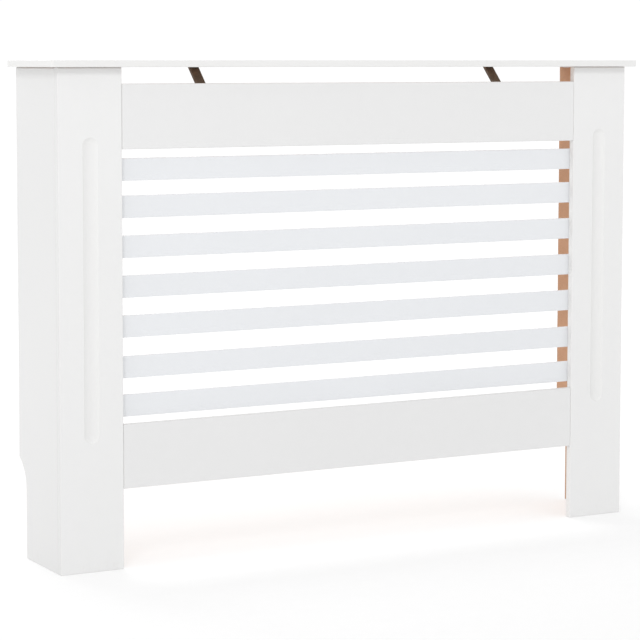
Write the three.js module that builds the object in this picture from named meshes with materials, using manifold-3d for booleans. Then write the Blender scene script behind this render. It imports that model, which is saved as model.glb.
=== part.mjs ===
// Radiator cover cabinet: a slatted front frame with fluted pilasters, two side
// panels with a skirting cut-out, and a thin top board, all cut from fibreboard.
//
// Millimetres, +Z up. Origin on the floor, at the middle of the footprint of the
// top board. -Y is the front (room side), +Y is the wall side, +X is the right
// hand end when seen from the front.

import * as THREE from 'three';
import { mergeVertices } from 'three/addons/utils/BufferGeometryUtils.js';
import Module from 'manifold-3d';

// ---------------------------------------------------------------- dimensions

const WIDTH = 1120;            // top board, end to end
const DEPTH = 190;             // top board, front to back
const HEIGHT = 815;            // floor to the top of the board

const TOP_T = 11;              // top board thickness
const OVERHANG = 15;           // top board past the body, front and both ends
const TOP_CORNER_R = 4;        // rounded upright corners of the top board

const BODY_W = WIDTH - 2 * OVERHANG;       // 1090
const BODY_H = HEIGHT - TOP_T;             // 804
const REAR_Y = DEPTH / 2;                  // 95, the wall plane
const FRONT_Y = -DEPTH / 2 + OVERHANG;     // -80, front face of the pilasters

const FRONT_T = 12;            // pilasters and rails
const FRAME_BACK_Y = FRONT_Y + FRONT_T;    // -68
const POST_W = 110;            // pilaster width
const SIDE_T = 18;             // side panel thickness
const SIDE_IN_X = BODY_W / 2 - SIDE_T;     // 527, inner face of a side panel
const POST_IN_X = BODY_W / 2 - POST_W;     // 435, inner edge of a pilaster

const RAIL_H = 104;
const RAIL_GAP = 0.25;         // joint line at each rail end
const UPPER_RAIL_Z = 674;      // lower edge of the upper rail
const LOWER_RAIL_Z = 130;      // lower edge of the lower rail

const SLAT_H = 36;
const SLAT_T = 6;
// lower edges, from the highest slat down: they aren't quite evenly spaced
const SLAT_LOW_Z = [623.5, 564, 500, 436, 372, 306.5, 244.5];
const SLAT_HALF_L = 482;       // slats run behind the pilasters to the battens

const FLUTE_W = 26;            // shallow routed cove in each pilaster
const FLUTE_D = 4;
const FLUTE_LOW_Z = 207;
const FLUTE_HIGH_Z = 694;

const NOTCH_D = 30;            // skirting cut-out of a side panel
const NOTCH_STRAIGHT_Z = 115;  // upright part of the cut-out
const NOTCH_TOP_Z = 164;       // where its curve meets the rear edge

const BATTEN_X0 = 452;         // slat battens, behind the slat ends
const BATTEN_W = 30;
const BATTEN_T = 12;
const BATTEN_LOW_Z = 200;
const BATTEN_HIGH_Z = 708;
const PACKER_H = 40;           // packers as thick as a slat, at the batten ends

const CLEAT = 18;              // square section of the corner and top cleats
const CORNER_CLEAT_LOW_Z = 40;
const CORNER_CLEAT_HIGH_Z = 780;
const TOP_CLEAT_Y0 = -66;
const TOP_CLEAT_Y1 = 30;

const STAY_W = 16;             // sloping strips under the top board
const STAY_T = 6;
const STAY_X = 286;            // each side of the middle
const STAY_MID_Y = -45;        // centre line of a stay passes this point
const STAY_MID_Z = 790;

const DOWEL_R = 3;             // rail dowels
const DOWEL_L = 30;
const DOWEL_INSET_Z = 27;      // from the rail's edges

const SCREW_R = 1.75;          // 3.5 mm wood screws
const SCREW_HEAD_R = 3.5;
const HOLE_CLEAR = 0.25;       // clearance round screws and dowels

const BRACKET_LEG = 40;        // steel angle brackets to the wall
const BRACKET_T = 2;
const BRACKET_H = 20;
const BRACKET_Z = 700;
const BRACKET_HOLE_R = 2.25;
const BRACKET_HOLE_1 = 14;     // hole centres from the outside of the bend
const BRACKET_HOLE_2 = 31;
const BRACKET_SCREW_L = 14;

// ----------------------------------------------------------------- materials

const lacquer = () => new THREE.MeshStandardMaterial({ color: 0xf1f1ef, roughness: 0.42, metalness: 0 });
const rawBoard = () => new THREE.MeshStandardMaterial({ color: 0xa97c5a, roughness: 0.85, metalness: 0 });
const hardboard = () => new THREE.MeshStandardMaterial({ color: 0x4d3629, roughness: 0.75, metalness: 0 });
const beech = () => new THREE.MeshStandardMaterial({ color: 0xd9b88a, roughness: 0.7, metalness: 0 });
const zinc = () => new THREE.MeshStandardMaterial({ color: 0xc4c6c8, roughness: 0.35, metalness: 1 });

// ------------------------------------------------------------ solid modelling

const wasm = await Module();
wasm.setup();

function toSolid(geometry) {
  const g = geometry.clone();
  g.deleteAttribute('normal');
  g.deleteAttribute('uv');
  const merged = mergeVertices(g, 1e-4);
  return new wasm.Manifold(new wasm.Mesh({
    numProp: 3,
    vertProperties: new Float32Array(merged.attributes.position.array),
    triVerts: new Uint32Array(merged.index.array),
  }));
}

function toGeometry(solid) {
  const mesh = solid.getMesh();
  const g = new THREE.BufferGeometry();
  const positions = new Float32Array(mesh.numVert * 3);
  for (let i = 0; i < mesh.numVert; i++) {
    for (let k = 0; k < 3; k++) positions[3 * i + k] = mesh.vertProperties[i * mesh.numProp + k];
  }
  g.setAttribute('position', new THREE.BufferAttribute(positions, 3));
  g.setIndex(new THREE.BufferAttribute(new Uint32Array(mesh.triVerts), 1));
  g.computeVertexNormals();
  return g;
}

function cutAway(geometry, cutters) {
  let solid = toSolid(geometry);
  for (const cutter of cutters) solid = solid.subtract(toSolid(cutter));
  return toGeometry(solid);
}

// A block given by its low and high corners.
function block(x0, x1, y0, y1, z0, z1) {
  const g = new THREE.BoxGeometry(x1 - x0, y1 - y0, z1 - z0);
  g.translate((x0 + x1) / 2, (y0 + y1) / 2, (z0 + z1) / 2);
  return g;
}

// A turned solid: profile points [radius, height] run up the axis, which starts
// along +Y and is then turned to point along the given direction from a point.
function turned(profile, segments, origin, direction) {
  const g = new THREE.LatheGeometry(profile.map(([r, h]) => new THREE.Vector2(r, h)), segments);
  const q = new THREE.Quaternion().setFromUnitVectors(
    new THREE.Vector3(0, 1, 0), new THREE.Vector3(...direction).normalize());
  g.applyQuaternion(q);
  g.translate(...origin);
  return g;
}

const SEG = 16;

// A plain round hole from a point, along a direction.
function hole(radius, from, to, origin, direction) {
  return turned([[0, from], [radius, from], [radius, to], [0, to]], SEG, origin, direction);
}

// The hole that takes a countersunk screw: origin is on the surface at the head,
// direction is the way the screw points.
function screwHole(length, origin, direction) {
  const c = HOLE_CLEAR;
  const rh = SCREW_HEAD_R + c;
  const rs = SCREW_R + c;
  return turned([
    [0, -1], [rh, -1], [rh, 0.5], [rs, 0.5 + (rh - rs)], [rs, length + c], [0, length + c],
  ], SEG, origin, direction);
}

// A countersunk screw with a cross recess in its head.
function countersunkScrew(length, origin, direction) {
  const head = turned([
    [0, 0.25], [SCREW_HEAD_R, 0.25], [SCREW_HEAD_R, 0.5],
    [SCREW_R, 0.5 + SCREW_HEAD_R - SCREW_R],
    [SCREW_R, length - 3], [0, length],
  ], SEG, [0, 0, 0], [0, 1, 0]);
  const recess = [
    block(-1.9, 1.9, -0.5, 1.7, -0.4, 0.4),
    block(-0.4, 0.4, -0.5, 1.7, -1.9, 1.9),
  ];
  const g = cutAway(head, recess);
  const q = new THREE.Quaternion().setFromUnitVectors(
    new THREE.Vector3(0, 1, 0), new THREE.Vector3(...direction).normalize());
  g.applyQuaternion(q);
  g.translate(...origin);
  return g;
}

// A pan-head screw: origin is on the surface under the head.
function panScrew(length, origin, direction) {
  const rh = 3.5;
  const head = turned([
    [0, -2.2], [1.9, -2.1], [3.0, -1.6], [rh, -0.7], [rh, 0], [SCREW_R, 0],
    [SCREW_R, length - 3], [0, length],
  ], SEG, [0, 0, 0], [0, 1, 0]);
  const recess = [
    block(-1.7, 1.7, -3, -0.9, -0.4, 0.4),
    block(-0.4, 0.4, -3, -0.9, -1.7, 1.7),
  ];
  const g = cutAway(head, recess);
  const q = new THREE.Quaternion().setFromUnitVectors(
    new THREE.Vector3(0, 1, 0), new THREE.Vector3(...direction).normalize());
  g.applyQuaternion(q);
  g.translate(...origin);
  return g;
}

// ------------------------------------------------------------------ assembly

const cabinet = new THREE.Group();

// Adds a piece whose geometry is in cabinet coordinates: the geometry is moved
// to its own centre, and the mesh is placed there.
function add(parent, name, material, geometry, centre) {
  geometry.translate(-centre[0], -centre[1], -centre[2]);
  const mesh = new THREE.Mesh(geometry, material);
  mesh.name = name;
  mesh.position.set(...centre);
  parent.add(mesh);
  return mesh;
}

const SIDES = [['left', -1], ['right', 1]];

// Low and high x of a piece that is mirrored for the left hand side.
const span = (s, a, b) => (s > 0 ? [a, b] : [-b, -a]);

// -- fastener places, shared by the holes and the fasteners themselves

const dowels = [];
const screws = [];
for (const [side, s] of SIDES) {
  for (const [rail, z0] of [['upper', UPPER_RAIL_Z], ['lower', LOWER_RAIL_Z]]) {
    for (const [tag, z] of [['top', z0 + RAIL_H - DOWEL_INSET_Z], ['bottom', z0 + DOWEL_INSET_Z]]) {
      dowels.push({
        name: `dowel_${rail}_rail_${side}_${tag}`, side, rail,
        origin: [s * (POST_IN_X - DOWEL_L / 2), FRONT_Y + FRONT_T / 2, z], direction: [s, 0, 0],
      });
    }
  }
  const cleatX = s * (SIDE_IN_X - CLEAT / 2);
  const cleatBackY = FRAME_BACK_Y + CLEAT;
  for (const [tag, z] of [['upper', 660], ['lower', 150]]) {
    screws.push({
      name: `screw_cleat_to_post_${side}_${tag}`, length: 26, side,
      through: [`corner_cleat_${side}`, `pilaster_${side}`],
      origin: [cleatX, cleatBackY, z], direction: [0, -1, 0],
    });
  }
  for (const [tag, z] of [['upper', 690], ['lower', 180]]) {
    screws.push({
      name: `screw_cleat_to_side_${side}_${tag}`, length: 30, side,
      through: [`corner_cleat_${side}`, `side_panel_${side}`],
      origin: [s * (SIDE_IN_X - CLEAT), FRAME_BACK_Y + CLEAT / 2, z], direction: [s, 0, 0],
    });
  }
  for (const [tag, y] of [['front', -46], ['rear', 14]]) {
    screws.push({
      name: `screw_cleat_to_top_${side}_${tag}`, length: 26, side,
      through: [`top_cleat_${side}`, 'top_board'],
      origin: [cleatX, y, BODY_H - CLEAT], direction: [0, 0, 1],
    });
  }
  screws.push({
    name: `screw_top_cleat_to_side_${side}`, length: 30, side,
    through: [`top_cleat_${side}`, `side_panel_${side}`],
    origin: [s * (SIDE_IN_X - CLEAT), -16, BODY_H - CLEAT / 2], direction: [s, 0, 0],
  });
  for (const [tag, z] of [['upper', BATTEN_HIGH_Z - PACKER_H / 2], ['lower', BATTEN_LOW_Z + PACKER_H / 2]]) {
    screws.push({
      name: `screw_batten_${side}_${tag}`, length: 26, side,
      through: [`slat_batten_${side}`, `packer_${side}_${tag}`, `pilaster_${side}`],
      origin: [s * (BATTEN_X0 + BATTEN_W / 2), FRAME_BACK_Y + SLAT_T + BATTEN_T, z], direction: [0, -1, 0],
    });
  }
}

const screwHolesFor = (node) => screws
  .filter((f) => f.through.includes(node))
  .map((f) => screwHole(f.length, f.origin, f.direction));

const dowelHolesFor = (test) => dowels.filter(test)
  .map((d) => hole(DOWEL_R + HOLE_CLEAR, -1, DOWEL_L + 1, d.origin, d.direction));

const bracketScrewPlaces = (s) => [
  ['rear', REAR_Y - BRACKET_HOLE_1], ['front', REAR_Y - BRACKET_HOLE_2],
].map(([tag, y]) => ({ tag, origin: [s * (SIDE_IN_X - BRACKET_T), y, BRACKET_Z + BRACKET_H / 2], direction: [s, 0, 0] }));

// -- top board, with rounded upright corners

{
  const r = TOP_CORNER_R;
  const x = WIDTH / 2;
  const y = DEPTH / 2;
  const outline = new THREE.Shape();
  outline.moveTo(-x + r, -y);
  outline.lineTo(x - r, -y);
  outline.absarc(x - r, -y + r, r, -Math.PI / 2, 0, false);
  outline.lineTo(x, y);
  outline.lineTo(-x, y);
  outline.lineTo(-x, -y + r);
  outline.absarc(-x + r, -y + r, r, Math.PI, 1.5 * Math.PI, false);
  const g = new THREE.ExtrudeGeometry(outline, { depth: TOP_T, bevelEnabled: false, curveSegments: 4 });
  g.translate(0, 0, BODY_H);
  add(cabinet, 'top_board', lacquer(), cutAway(g, screwHolesFor('top_board')), [0, 0, BODY_H + TOP_T / 2]);
}

// -- side panels, with the skirting cut-out at the lower rear corner

for (const [side, s] of SIDES) {
  // The curve starts upright at the top of the cut-out's straight part and
  // bends back to the rear edge, as an arc of one radius.
  const rise = NOTCH_TOP_Z - NOTCH_STRAIGHT_Z;
  const radius = (NOTCH_D * NOTCH_D + rise * rise) / (2 * NOTCH_D);
  const sweep = Math.asin(rise / radius);
  const outline = new THREE.Shape();
  outline.moveTo(FRAME_BACK_Y, 0);
  outline.lineTo(REAR_Y - NOTCH_D, 0);
  outline.lineTo(REAR_Y - NOTCH_D, NOTCH_STRAIGHT_Z);
  const steps = 8;
  for (let i = 1; i < steps; i++) {
    const t = (sweep * i) / steps;
    outline.lineTo(REAR_Y - NOTCH_D + radius * (1 - Math.cos(t)), NOTCH_STRAIGHT_Z + radius * Math.sin(t));
  }
  outline.lineTo(REAR_Y, NOTCH_TOP_Z);
  outline.lineTo(REAR_Y, BODY_H);
  outline.lineTo(FRAME_BACK_Y, BODY_H);
  outline.closePath();
  const g = new THREE.ExtrudeGeometry(outline, { depth: SIDE_T, bevelEnabled: false });
  // The outline lies in Y and Z: turn the extrusion to run along X.
  g.applyMatrix4(new THREE.Matrix4().makeBasis(
    new THREE.Vector3(0, 1, 0), new THREE.Vector3(0, 0, 1), new THREE.Vector3(1, 0, 0)));
  g.translate(s > 0 ? SIDE_IN_X : -SIDE_IN_X - SIDE_T, 0, 0);
  const holes = [
    ...screwHolesFor(`side_panel_${side}`),
    ...bracketScrewPlaces(s).map((p) => hole(SCREW_R + HOLE_CLEAR, -1, BRACKET_SCREW_L + HOLE_CLEAR, p.origin, p.direction)),
  ];
  add(cabinet, `side_panel_${side}`, lacquer(), cutAway(g, holes),
    [s * (SIDE_IN_X + SIDE_T / 2), (FRAME_BACK_Y + REAR_Y) / 2, BODY_H / 2]);
}

// -- front frame: pilasters, rails, slats, battens and packers

const frontFrame = new THREE.Group();
cabinet.add(frontFrame);

for (const [side, s] of SIDES) {
  const [x0, x1] = span(s, POST_IN_X, BODY_W / 2);
  const cx = (x0 + x1) / 2;
  // The flute is cut by a long round-ended roller that dips into the face.
  const r = (FLUTE_W * FLUTE_W / 4 + FLUTE_D * FLUTE_D) / (2 * FLUTE_D);
  const endRun = FLUTE_W / 2;  // the round ends reach half a flute width past the roller's straight part
  const straight = FLUTE_HIGH_Z - FLUTE_LOW_Z - 2 * endRun;
  const roller = new THREE.CapsuleGeometry(r, straight, 18, 60);
  roller.rotateX(Math.PI / 2);
  roller.translate(cx, FRONT_Y + FLUTE_D - r, (FLUTE_HIGH_Z + FLUTE_LOW_Z) / 2);
  const g = cutAway(block(x0, x1, FRONT_Y, FRAME_BACK_Y, 0, BODY_H), [
    roller,
    ...dowelHolesFor((d) => d.side === side),
    ...screwHolesFor(`pilaster_${side}`),
  ]);
  add(frontFrame, `pilaster_${side}`, lacquer(), g, [cx, FRONT_Y + FRONT_T / 2, BODY_H / 2]);
}

for (const [rail, z0] of [['upper', UPPER_RAIL_Z], ['lower', LOWER_RAIL_Z]]) {
  const x = POST_IN_X - RAIL_GAP;
  const g = cutAway(block(-x, x, FRONT_Y, FRAME_BACK_Y, z0, z0 + RAIL_H),
    dowelHolesFor((d) => d.rail === rail));
  add(frontFrame, `${rail}_rail`, lacquer(), g, [0, FRONT_Y + FRONT_T / 2, z0 + RAIL_H / 2]);
}

for (const [i, z] of SLAT_LOW_Z.entries()) {
  const g = new THREE.BoxGeometry(2 * SLAT_HALF_L, SLAT_T, SLAT_H);
  const mesh = new THREE.Mesh(g, lacquer());
  mesh.name = `slat_${i + 1}`;
  mesh.position.set(0, FRAME_BACK_Y + SLAT_T / 2, z + SLAT_H / 2);
  frontFrame.add(mesh);
}

for (const [side, s] of SIDES) {
  const [x0, x1] = span(s, BATTEN_X0, BATTEN_X0 + BATTEN_W);
  const y0 = FRAME_BACK_Y + SLAT_T;
  add(frontFrame, `slat_batten_${side}`, rawBoard(),
    cutAway(block(x0, x1, y0, y0 + BATTEN_T, BATTEN_LOW_Z, BATTEN_HIGH_Z), screwHolesFor(`slat_batten_${side}`)),
    [(x0 + x1) / 2, y0 + BATTEN_T / 2, (BATTEN_LOW_Z + BATTEN_HIGH_Z) / 2]);
  for (const [tag, z0] of [['upper', BATTEN_HIGH_Z - PACKER_H], ['lower', BATTEN_LOW_Z]]) {
    add(frontFrame, `packer_${side}_${tag}`, rawBoard(),
      cutAway(block(x0, x1, FRAME_BACK_Y, y0, z0, z0 + PACKER_H), screwHolesFor(`packer_${side}_${tag}`)),
      [(x0 + x1) / 2, (FRAME_BACK_Y + y0) / 2, z0 + PACKER_H / 2]);
  }
}

for (const d of dowels) {
  const g = turned([[0, 0], [DOWEL_R - 0.8, 0], [DOWEL_R, 1], [DOWEL_R, DOWEL_L - 1], [DOWEL_R - 0.8, DOWEL_L], [0, DOWEL_L]],
    SEG, d.origin, d.direction);
  const mid = d.origin.map((v, k) => v + d.direction[k] * DOWEL_L / 2);
  add(frontFrame, d.name, beech(), g, mid);
}

// -- cleats that join the front frame, the side panels and the top board

for (const [side, s] of SIDES) {
  const [x0, x1] = span(s, SIDE_IN_X - CLEAT, SIDE_IN_X);
  add(cabinet, `corner_cleat_${side}`, rawBoard(),
    cutAway(block(x0, x1, FRAME_BACK_Y, FRAME_BACK_Y + CLEAT, CORNER_CLEAT_LOW_Z, CORNER_CLEAT_HIGH_Z),
      screwHolesFor(`corner_cleat_${side}`)),
    [(x0 + x1) / 2, FRAME_BACK_Y + CLEAT / 2, (CORNER_CLEAT_LOW_Z + CORNER_CLEAT_HIGH_Z) / 2]);
  add(cabinet, `top_cleat_${side}`, rawBoard(),
    cutAway(block(x0, x1, TOP_CLEAT_Y0, TOP_CLEAT_Y1, BODY_H - CLEAT, BODY_H), screwHolesFor(`top_cleat_${side}`)),
    [(x0 + x1) / 2, (TOP_CLEAT_Y0 + TOP_CLEAT_Y1) / 2, BODY_H - CLEAT / 2]);
}

// -- sloping stays from the underside of the top board to the upper rail

for (const [side, s] of SIDES) {
  const half = (STAY_T / 2) * Math.SQRT2;   // half thickness measured along Y, on a 45 degree slope
  const yTop = STAY_MID_Y + (BODY_H - STAY_MID_Z);
  const zLow = STAY_MID_Z + (FRAME_BACK_Y - STAY_MID_Y);
  const outline = new THREE.Shape();
  outline.moveTo(FRAME_BACK_Y, zLow - half);
  outline.lineTo(yTop + half, BODY_H);
  outline.lineTo(yTop - half, BODY_H);
  outline.lineTo(FRAME_BACK_Y, zLow + half);
  outline.closePath();
  const g = new THREE.ExtrudeGeometry(outline, { depth: STAY_W, bevelEnabled: false });
  g.applyMatrix4(new THREE.Matrix4().makeBasis(
    new THREE.Vector3(0, 1, 0), new THREE.Vector3(0, 0, 1), new THREE.Vector3(1, 0, 0)));
  g.translate(s * STAY_X - STAY_W / 2, 0, 0);
  add(cabinet, `top_stay_${side}`, hardboard(), g, [s * STAY_X, STAY_MID_Y, STAY_MID_Z]);
}

// -- wall brackets and their screws

for (const [side, s] of SIDES) {
  const t = BRACKET_T;
  const bendR = 3;             // outside radius of the bend
  const outline = new THREE.Shape();
  // One leg lies on the side panel, the other in the wall plane. Drawn for the
  // right hand side with the outside of the bend at the origin.
  outline.moveTo(0, -BRACKET_LEG);
  outline.lineTo(0, -bendR);
  outline.absarc(-bendR, -bendR, bendR, 0, Math.PI / 2, false);
  outline.lineTo(-BRACKET_LEG, 0);
  outline.lineTo(-BRACKET_LEG, -t);
  outline.lineTo(-bendR, -t);
  outline.absarc(-bendR, -bendR, bendR - t, Math.PI / 2, 0, true);
  outline.lineTo(-t, -BRACKET_LEG);
  outline.closePath();
  const g = new THREE.ExtrudeGeometry(outline, { depth: BRACKET_H, bevelEnabled: false, curveSegments: 5 });
  g.translate(SIDE_IN_X, REAR_Y, BRACKET_Z);
  const zMid = BRACKET_Z + BRACKET_H / 2;
  let cut = cutAway(g, [
    ...bracketScrewPlaces(1).map((p) => hole(BRACKET_HOLE_R, -2, 5, p.origin, p.direction)),
    hole(BRACKET_HOLE_R, -2, 5, [SIDE_IN_X - BRACKET_HOLE_1, REAR_Y - t, zMid], [0, 1, 0]),
    hole(BRACKET_HOLE_R, -2, 5, [SIDE_IN_X - BRACKET_HOLE_2, REAR_Y - t, zMid], [0, 1, 0]),
  ]);
  if (s < 0) {
    // Half a turn about its own middle gives the left hand bracket.
    cut.translate(-SIDE_IN_X, -REAR_Y, -zMid);
    cut.rotateY(Math.PI);
    cut.translate(-SIDE_IN_X, REAR_Y, zMid);
  }
  add(cabinet, `wall_bracket_${side}`, zinc(), cut, [s * SIDE_IN_X, REAR_Y, zMid]);
  for (const p of bracketScrewPlaces(s)) {
    add(cabinet, `screw_bracket_${side}_${p.tag}`, zinc(), panScrew(BRACKET_SCREW_L, p.origin, p.direction), p.origin);
  }
}

// -- countersunk screws

for (const f of screws) {
  add(cabinet, f.name, zinc(), countersunkScrew(f.length, f.origin, f.direction), f.origin);
}

export default cabinet;
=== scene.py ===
import math

import bmesh
import bpy
from mathutils import Matrix, Vector


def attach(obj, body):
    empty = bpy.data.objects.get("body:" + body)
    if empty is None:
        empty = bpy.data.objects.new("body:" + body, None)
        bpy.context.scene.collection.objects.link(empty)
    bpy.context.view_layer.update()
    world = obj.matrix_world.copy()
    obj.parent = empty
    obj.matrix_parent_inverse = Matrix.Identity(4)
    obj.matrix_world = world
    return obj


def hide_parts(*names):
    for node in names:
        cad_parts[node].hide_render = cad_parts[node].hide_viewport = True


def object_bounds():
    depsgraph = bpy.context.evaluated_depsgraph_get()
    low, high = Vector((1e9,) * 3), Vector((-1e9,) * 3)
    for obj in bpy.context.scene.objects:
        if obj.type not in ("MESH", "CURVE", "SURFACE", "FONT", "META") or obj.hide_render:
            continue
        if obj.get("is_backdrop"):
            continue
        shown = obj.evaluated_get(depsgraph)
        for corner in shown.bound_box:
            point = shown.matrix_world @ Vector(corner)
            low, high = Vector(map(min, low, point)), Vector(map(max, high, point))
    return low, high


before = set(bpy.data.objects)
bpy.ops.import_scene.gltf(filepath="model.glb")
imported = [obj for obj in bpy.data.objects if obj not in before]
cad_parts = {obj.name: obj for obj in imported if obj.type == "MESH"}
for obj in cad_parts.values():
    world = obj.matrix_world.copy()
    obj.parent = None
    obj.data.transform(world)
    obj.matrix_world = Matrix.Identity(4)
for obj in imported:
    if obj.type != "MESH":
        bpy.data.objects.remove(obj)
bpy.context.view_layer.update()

scene = bpy.context.scene

# Sizes in millimetres, as in the construction model.
WIDTH, DEPTH, HEIGHT = 1120.0, 190.0, 815.0
TOP_T, BODY_H, BODY_HALF = 11.0, 804.0, 545.0
REAR_Y, FRONT_Y, BACK_Y = 95.0, -80.0, -68.0
SIDE_IN, POST_IN = 527.0, 435.0
RAIL_H, RAIL_END = 104.0, 434.75
UPPER_Z, LOWER_Z = 674.0, 130.0
SLAT_HALF, SLAT_T, SLAT_H = 482.0, 6.0, 36.0
SLAT_LOW = (623.5, 564.0, 500.0, 436.0, 372.0, 306.5, 244.5)   # from the highest slat down
CLEAT = 18.0
SCREW_R, HEAD_R, CLEAR = 1.75, 3.5, 0.25

# ------------------------------------------------------------------ shaders


class Nodes:
    """A node tree with short ways to add to it."""

    def __init__(self, tree):
        self.tree = tree
        tree.nodes.clear()

    def add(self, kind, **settings):
        node = self.tree.nodes.new(kind)
        for k, v in settings.items():
            setattr(node, k, v)
        return node

    def put(self, socket, value):
        if isinstance(value, bpy.types.NodeSocket):
            self.tree.links.new(value, socket)
        elif value is not None:
            socket.default_value = value

    def math(self, op, a, b=None, c=None, clamp=False):
        n = self.add("ShaderNodeMath", operation=op, use_clamp=clamp)
        for i, v in enumerate((a, b, c)):
            self.put(n.inputs[i], v)
        return n.outputs[0]

    def ease(self, v, a, b, lo=0.0, hi=1.0):
        """v from a..b to lo..hi, eased at both ends."""
        n = self.add("ShaderNodeMapRange", interpolation_type="SMOOTHSTEP")
        for i, x in enumerate((v, a, b, lo, hi)):
            self.put(n.inputs[i], x)
        return n.outputs[0]

    def span(self, v, a, b, lo, hi):
        n = self.add("ShaderNodeMapRange", clamp=True)
        for i, x in enumerate((v, a, b, lo, hi)):
            self.put(n.inputs[i], x)
        return n.outputs[0]

    def mix(self, f, a, b):
        n = self.add("ShaderNodeMix", data_type="RGBA")
        self.put(n.inputs[0], f)
        self.put(n.inputs[6], a if isinstance(a, bpy.types.NodeSocket) else (*a, 1.0))
        self.put(n.inputs[7], b if isinstance(b, bpy.types.NodeSocket) else (*b, 1.0))
        return n.outputs[2]

    def mixf(self, f, a, b):
        n = self.add("ShaderNodeMix", data_type="FLOAT")
        for i, v in enumerate((f, a, b)):
            self.put(n.inputs[(0, 2, 3)[i]], v)
        return n.outputs[0]

    def tint(self, colour, v):
        """colour times the number v."""
        n = self.add("ShaderNodeVectorMath", operation="SCALE")
        self.put(n.inputs[0], colour)
        self.put(n.inputs[3], v)
        return n.outputs[0]

    def where(self, scale=(1, 1, 1), shift=(0, 0, 0)):
        """Object coordinates in metres, moved and stretched."""
        c = self.add("ShaderNodeTexCoord").outputs["Object"]
        m = self.add("ShaderNodeMapping")
        m.inputs["Location"].default_value = shift
        m.inputs["Scale"].default_value = scale
        self.put(m.inputs["Vector"], c)
        return m.outputs[0]

    def noise(self, at, scale, detail=2.0, rough=0.5, warp=0.0):
        n = self.add("ShaderNodeTexNoise")
        self.put(n.inputs["Vector"], at)
        n.inputs["Scale"].default_value = scale
        n.inputs["Detail"].default_value = detail
        n.inputs["Roughness"].default_value = rough
        n.inputs["Distortion"].default_value = warp
        return n.outputs["Fac"]

    def cells(self, at, scale):
        n = self.add("ShaderNodeTexVoronoi")
        self.put(n.inputs["Vector"], at)
        n.inputs["Scale"].default_value = scale
        return n.outputs["Distance"]

    def face(self, name):
        """A number kept on the faces of the mesh."""
        return self.add("ShaderNodeAttribute", attribute_name=name).outputs["Fac"]

    def surface(self, colour, rough, height, bump=1.0, far=0.001, **fixed):
        p = self.add("ShaderNodeBsdfPrincipled")
        self.put(p.inputs["Base Color"], colour)
        self.put(p.inputs["Roughness"], rough)
        for k, v in fixed.items():
            p.inputs[k.replace("_", " ")].default_value = v
        if height is not None:
            b = self.add("ShaderNodeBump")
            b.inputs["Strength"].default_value = bump
            b.inputs["Distance"].default_value = far
            self.put(b.inputs["Height"], height)
            self.put(p.inputs["Normal"], b.outputs[0])
        out = self.add("ShaderNodeOutputMaterial")
        self.tree.links.new(p.outputs[0], out.inputs[0])
        return p


def material(name):
    m = bpy.data.materials.new(name)
    m.use_nodes = True
    return m, Nodes(m.node_tree)


RAW = (0.582, 0.351, 0.222)


def raw_board(n, shift=(0, 0, 0), base=RAW):
    """Unpainted fibreboard: colour, roughness and height, of pressed wood fibres with
    dark and pale flecks, cloudy patches and a faint sanding direction."""
    at = n.where(shift=shift)
    cloud = n.noise(at, 7.0, 4.0, 0.6)
    patch = n.noise(at, 45.0, 3.0, 0.6)
    fibre = n.noise(n.where((1.0, 1.0, 0.35), shift), 1500.0, 4.0, 0.7, 0.6)
    fleck = n.noise(n.where((0.6, 1.0, 1.0), shift), 520.0, 3.0, 0.75, 1.2)
    colour = n.mix(n.span(cloud, 0.3, 0.7, 0.0, 1.0), tuple(c * 0.92 for c in base), tuple(c * 1.07 for c in base))
    colour = n.mix(n.span(patch, 0.35, 0.7, 0.0, 0.35), colour, (base[0] * 0.86, base[1] * 0.80, base[2] * 0.74))
    colour = n.mix(n.ease(fibre, 0.52, 0.72, 0.0, 0.55), colour, (base[0] * 1.3, base[1] * 1.42, base[2] * 1.6))
    colour = n.mix(n.ease(fleck, 0.56, 0.7, 0.0, 0.6), colour, (base[0] * 0.52, base[1] * 0.45, base[2] * 0.4))
    rough = n.span(fibre, 0.3, 0.7, 0.8, 0.94)
    height = n.math("ADD", n.math("MULTIPLY", fibre, 0.5), n.math("MULTIPLY", fleck, 0.35))
    return colour, rough, height


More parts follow.
